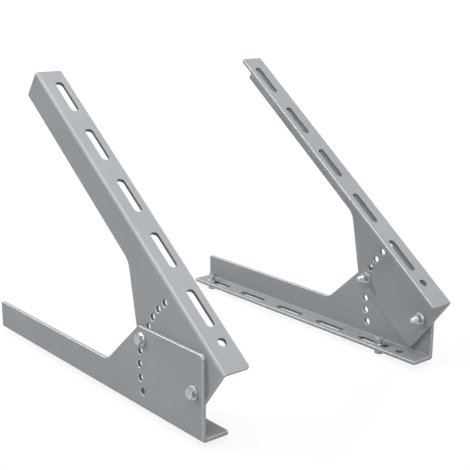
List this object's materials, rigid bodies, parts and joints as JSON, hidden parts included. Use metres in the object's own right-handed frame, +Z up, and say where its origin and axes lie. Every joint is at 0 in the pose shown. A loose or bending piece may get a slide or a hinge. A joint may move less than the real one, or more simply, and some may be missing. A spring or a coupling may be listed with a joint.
{
  "type": "solar panel tilt stand",
  "caption": "Mirrored hinged brackets of slotted aluminium angle that hold a solar panel at a tilt, set by bolts through arcs of index holes.",
  "frame": {"origin": "middle of the stand's footprint, on the plane under the ground nuts", "axes": "+Z up, +Y from the hinged front towards the open back, +X from the left bracket to the right one seen from the front"},
  "size_m": [0.3382, 0.4252, 0.3237],
  "materials": {
    "rail_aluminium": "satin, bead blasted",
    "zinc_fastener": "bright zinc plate"
  },
  "bodies": {
    "root": {"foot_rail_left": "rail_aluminium", "foot_rail_right": "rail_aluminium", "panel_rail_left": "rail_aluminium", "panel_rail_right": "rail_aluminium", "hinge_bolt_left": "zinc_fastener", "hinge_outer_washer_left": "zinc_fastener", "hinge_inner_washer_left": "zinc_fastener", "hinge_nut_left": "zinc_fastener", "hinge_bolt_right": "zinc_fastener", "hinge_outer_washer_right": "zinc_fastener", "hinge_inner_washer_right": "zinc_fastener", "hinge_nut_right": "zinc_fastener", "lock_bolt_left": "zinc_fastener", "lock_outer_washer_left": "zinc_fastener", "lock_inner_washer_left": "zinc_fastener", "lock_nut_left": "zinc_fastener", "lock_bolt_right": "zinc_fastener", "lock_outer_washer_right": "zinc_fastener", "lock_inner_washer_right": "zinc_fastener", "lock_nut_right": "zinc_fastener", "ground_bolt_front_left": "zinc_fastener", "ground_top_washer_front_left": "zinc_fastener", "ground_under_washer_front_left": "zinc_fastener", "ground_nut_front_left": "zinc_fastener", "ground_bolt_back_left": "zinc_fastener", "ground_top_washer_back_left": "zinc_fastener", "ground_under_washer_back_left": "zinc_fastener", "ground_nut_back_left": "zinc_fastener", "ground_bolt_front_right": "zinc_fastener", "ground_top_washer_front_right": "zinc_fastener", "ground_under_washer_front_right": "zinc_fastener", "ground_nut_front_right": "zinc_fastener", "ground_bolt_back_right": "zinc_fastener", "ground_top_washer_back_right": "zinc_fastener", "ground_under_washer_back_right": "zinc_fastener", "ground_nut_back_right": "zinc_fastener"}
  },
  "joints": []
}
